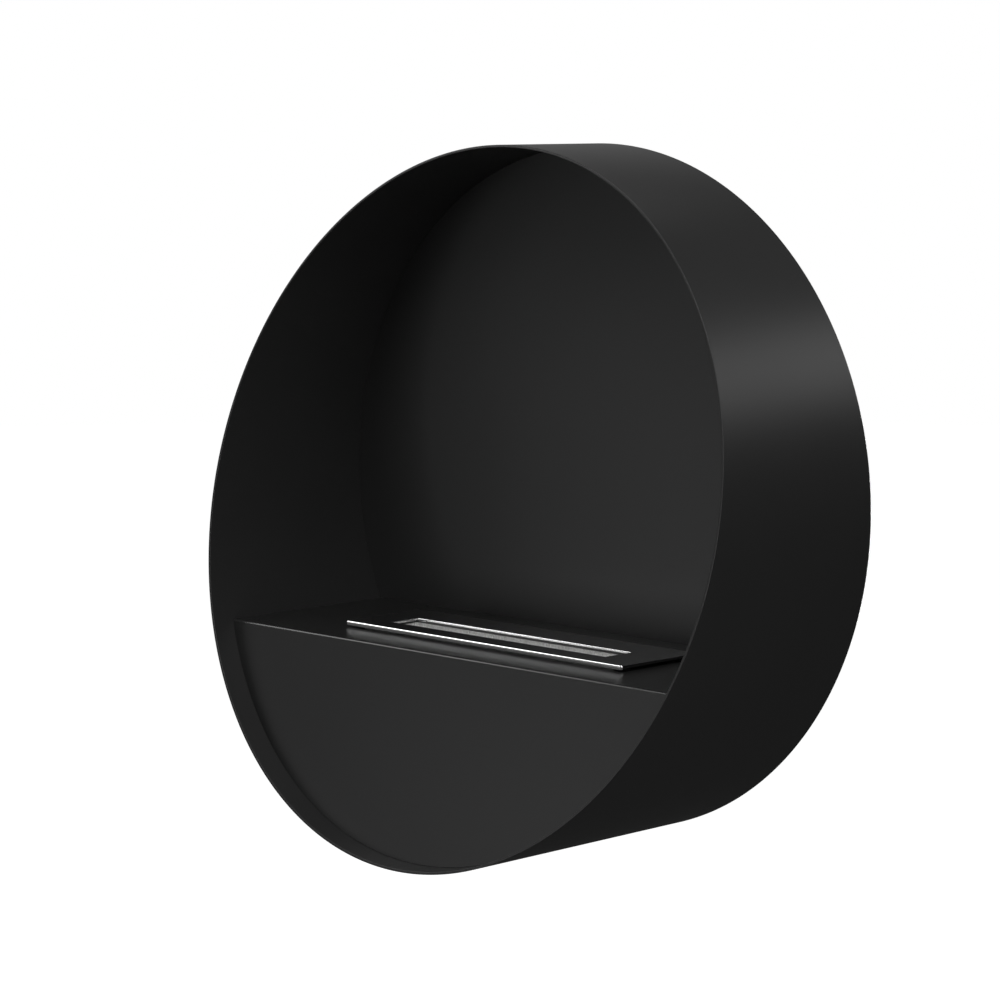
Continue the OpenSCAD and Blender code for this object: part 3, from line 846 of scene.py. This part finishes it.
def add_camera(studio):
    """Camera at the photograph's viewing angle."""
    data = bpy.data.cameras.new("camera")
    data.sensor_width = 36
    data.lens = studio.lens
    camera = bpy.data.objects.new("camera", data)
    bpy.context.scene.collection.objects.link(camera)
    camera.location = studio.camera_at
    aim(camera, studio.camera_to)
    bpy.context.scene.camera = camera


def add_lamp(name, place, wide, tall, power, spread):
    """Soft rectangular lamp that the camera doesn't see."""
    data = bpy.data.lights.new(name, "AREA")
    data.shape = "RECTANGLE"
    data.size = wide
    data.size_y = tall
    data.energy = power
    data.spread = math.radians(spread)
    lamp = bpy.data.objects.new(name, data)
    bpy.context.scene.collection.objects.link(lamp)
    lamp.location = place
    lamp.visible_camera = False
    aim(lamp, LAMP_TARGET)


def show_to_camera(tree, out, others, seen):
    """Gives the camera one shader and all other rays another."""
    mix = tree.nodes.new("ShaderNodeMixShader")
    path = tree.nodes.new("ShaderNodeLightPath")
    tree.links.new(path.outputs["Is Camera Ray"], mix.inputs["Fac"])
    tree.links.new(others, mix.inputs[1])
    tree.links.new(seen, mix.inputs[2])
    tree.links.new(mix.outputs["Shader"], out.inputs["Surface"])


def add_world(strength):
    """Room that looks white to the camera and gives an even light."""
    world = bpy.data.worlds.new("studio")
    bpy.context.scene.world = world
    world.use_nodes = True
    tree = world.node_tree
    tree.nodes.clear()
    out = tree.nodes.new("ShaderNodeOutputWorld")
    room = tree.nodes.new("ShaderNodeBackground")
    room.inputs["Color"].default_value = WHITE
    room.inputs["Strength"].default_value = strength
    seen = tree.nodes.new("ShaderNodeBackground")
    seen.inputs["Color"].default_value = WHITE
    seen.inputs["Strength"].default_value = 1.0
    show_to_camera(tree, out, room.outputs["Background"], seen.outputs["Background"])


def floor_material():
    """Floor that is white to the camera, keeps the drum's shadow and throws little light back."""
    mat = bpy.data.materials.new("pale_floor")
    mat.use_nodes = True
    tree = mat.node_tree
    tree.nodes.clear()
    out = tree.nodes.new("ShaderNodeOutputMaterial")
    dim = tree.nodes.new("ShaderNodeBsdfDiffuse")
    dim.inputs["Color"].default_value = FLOOR_BOUNCE
    matt = tree.nodes.new("ShaderNodeBsdfDiffuse")
    matt.inputs["Color"].default_value = FLOOR_TONE
    glow = tree.nodes.new("ShaderNodeEmission")
    place = tree.nodes.new("ShaderNodeTexCoord")
    away = tree.nodes.new("ShaderNodeVectorMath")
    away.operation = "LENGTH"
    fade = tree.nodes.new("ShaderNodeMapRange")
    fade.inputs["From Min"].default_value = GLOW_REACH[0]
    fade.inputs["From Max"].default_value = GLOW_REACH[1]
    fade.inputs["To Min"].default_value = GLOW_STRENGTH[0]
    fade.inputs["To Max"].default_value = GLOW_STRENGTH[1]
    tree.links.new(place.outputs["Object"], away.inputs[0])
    tree.links.new(away.outputs["Value"], fade.inputs["Value"])
    tree.links.new(fade.outputs["Result"], glow.inputs["Strength"])
    both = tree.nodes.new("ShaderNodeAddShader")
    tree.links.new(matt.outputs["BSDF"], both.inputs[0])
    tree.links.new(glow.outputs["Emission"], both.inputs[1])
    show_to_camera(tree, out, dim.outputs["BSDF"], both.outputs["Shader"])
    return mat


def add_floor(drop):
    """Round pale floor under the hung drum."""
    bm = bmesh.new()
    bmesh.ops.create_circle(bm, cap_ends=True, radius=FLOOR_RADIUS, segments=FLOOR_SIDES)
    mesh = bpy.data.meshes.new("floor")
    bm.to_mesh(mesh)
    bm.free()
    floor = bpy.data.objects.new("floor", mesh)
    bpy.context.scene.collection.objects.link(floor)
    floor.location = (0, 0, -drop)
    mesh.materials.append(floor_material())


class HEARTH_OT_stage(bpy.types.Operator):
    """Camera, pale floor, room light and soft lamps"""

    bl_idname = "hearth.stage"
    bl_label = "Studio"

    def execute(self, context):
        studio = context.scene.hearth_studio
        context.scene.view_settings.view_transform = "Standard"
        add_camera(studio)
        add_world(studio.world_light)
        add_floor(studio.floor_drop)
        for lamp in LAMPS:
            add_lamp(*lamp)
        return {"FINISHED"}


class HEARTH_PT_sidebar(bpy.types.Panel):
    """Buttons for the pieces of the fireplace and its studio"""

    bl_idname = "HEARTH_PT_sidebar"
    bl_label = "Drum fireplace"
    bl_space_type = "VIEW_3D"
    bl_region_type = "UI"
    bl_category = "Hearth"

    def draw(self, context):
        for operator in OPERATORS:
            self.layout.operator(operator.bl_idname)
        scene = context.scene
        for group in (scene.hearth_sizes, scene.hearth_colours, scene.hearth_studio):
            column = self.layout.column()
            for name in group.__annotations__:
                column.prop(group, name)


OPERATORS = (
    HEARTH_OT_stage,
    HEARTH_OT_drum,
    HEARTH_OT_panels,
    HEARTH_OT_deck,
    HEARTH_OT_well,
    HEARTH_OT_wall_mount,
    HEARTH_OT_fasteners,
    HEARTH_OT_burner_plate,
    HEARTH_OT_fuel_tank,
    HEARTH_OT_wick,
    HEARTH_OT_damper,
)
CLASSES = (HearthSizes, HearthColours, HearthStudio, HEARTH_PT_sidebar) + OPERATORS


def register():
    """Registers the classes and their settings."""
    for cls in CLASSES:
        bpy.utils.register_class(cls)
    bpy.types.Scene.hearth_sizes = PointerProperty(type=HearthSizes)
    bpy.types.Scene.hearth_colours = PointerProperty(type=HearthColours)
    bpy.types.Scene.hearth_studio = PointerProperty(type=HearthStudio)


def unregister():
    """Removes the classes and their settings."""
    del bpy.types.Scene.hearth_studio
    del bpy.types.Scene.hearth_colours
    del bpy.types.Scene.hearth_sizes
    for cls in reversed(CLASSES):
        bpy.utils.unregister_class(cls)


def main():
    """Makes every piece and the studio."""
    register()
    for operator in OPERATORS:
        group, name = operator.bl_idname.split(".")
        getattr(getattr(bpy.ops, group), name)()


if __name__ == "__main__":
    main()
